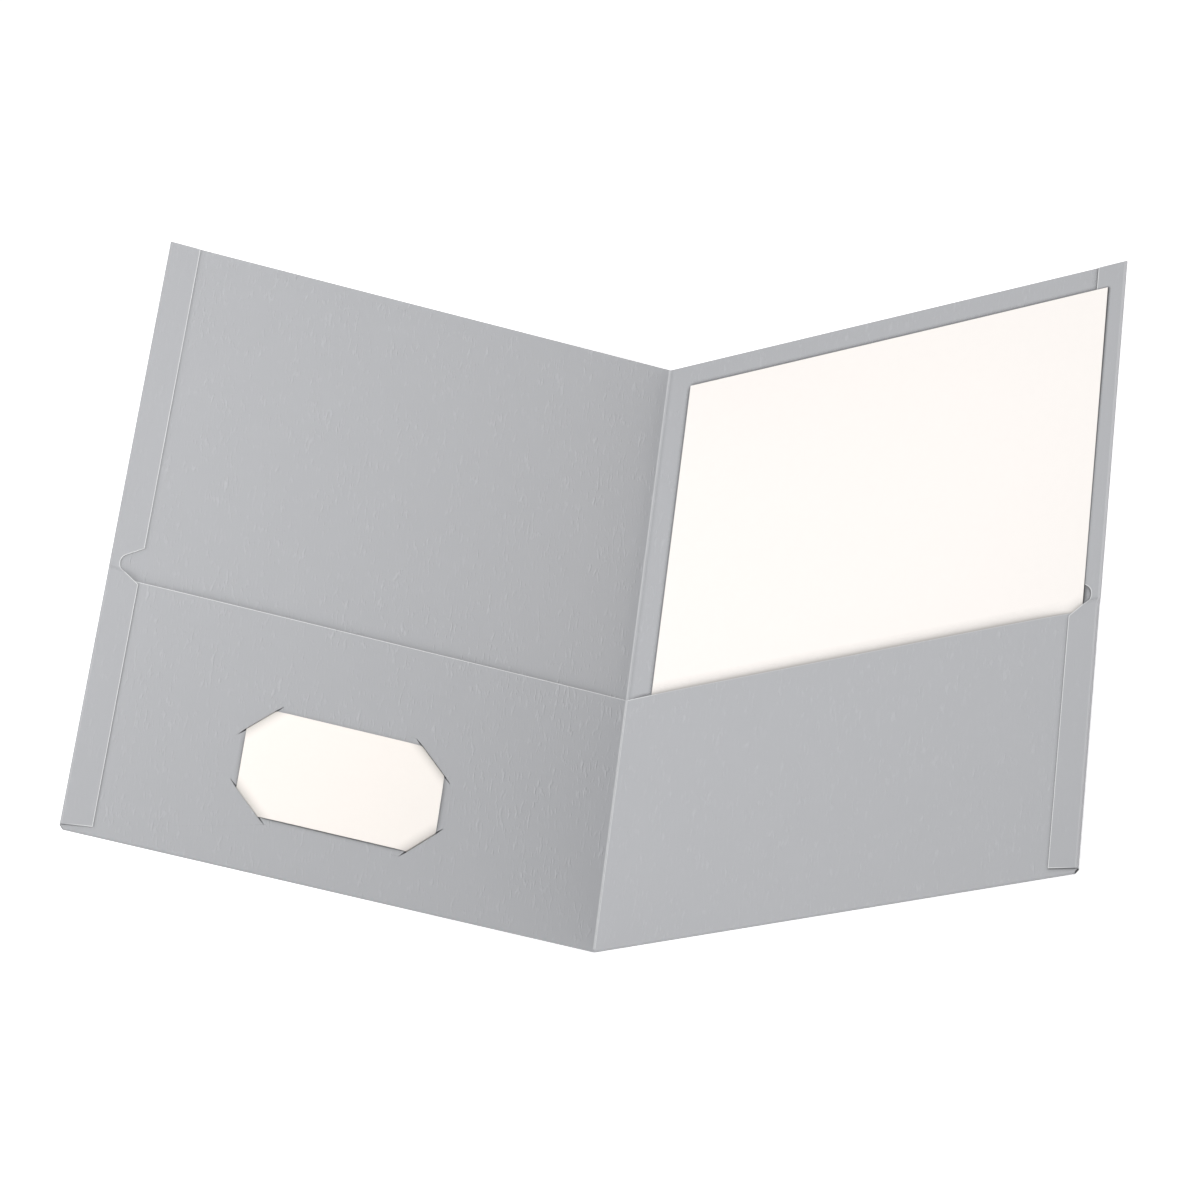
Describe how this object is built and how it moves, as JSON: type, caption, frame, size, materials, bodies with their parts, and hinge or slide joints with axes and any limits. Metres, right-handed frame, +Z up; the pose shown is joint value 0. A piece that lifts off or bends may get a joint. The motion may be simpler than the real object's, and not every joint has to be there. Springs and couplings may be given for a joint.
{
  "type": "two pocket folder",
  "caption": "Presentation folder of embossed grey board, part open, with turned-up glued pockets, a letter sheet in one and a business card tucked in corner slits on the other.",
  "frame": {"origin": "middle of the back cover's outer face, on the table that the folder lies on", "axes": "+X from the spine to the back cover's outer edge, +Y up the page to the folder's top edge, +Z up, from the outer face into the folder"},
  "size_m": [0.39, 0.295, 0.1827],
  "materials": {
    "cover_board": "embossed matte",
    "letter_paper": "smooth matte",
    "card_stock": "smooth matte",
    "adhesive": "dried glue"
  },
  "bodies": {
    "back_cover": {"back_panel": "cover_board", "back_pocket": "cover_board", "back_bottom_fold": "cover_board", "back_edge_fold": "cover_board", "back_lower_flap": "cover_board", "back_flap_neck": "cover_board", "back_upper_flap": "cover_board", "back_lower_glue": "adhesive", "back_upper_glue": "adhesive", "spine_crease": "cover_board", "pocket_crease": "cover_board", "bottom_crease": "cover_board"},
    "front_cover": {"front_panel": "cover_board", "front_pocket": "cover_board", "front_bottom_fold": "cover_board", "front_edge_fold": "cover_board", "front_lower_flap": "cover_board", "front_flap_neck": "cover_board", "front_upper_flap": "cover_board", "front_lower_glue": "adhesive", "front_upper_glue": "adhesive", "business_card": "card_stock"},
    "letter": {"letter_sheet": "letter_paper"}
  },
  "joints": [
    {"name": "spine_fold", "type": "hinge", "parent": "back_cover", "child": "front_cover", "pos_m": [-0.11825, 0, 0.00195], "axis": [0, 1, 0], "range_deg": [-50, 130], "deforming": ["spine_crease", "pocket_crease", "bottom_crease"]},
    {"name": "letter_slide", "type": "slide", "parent": "back_cover", "child": "letter", "axis": [0, 1, 0], "range_m": [-0.0025, 0.12]}
  ]
}
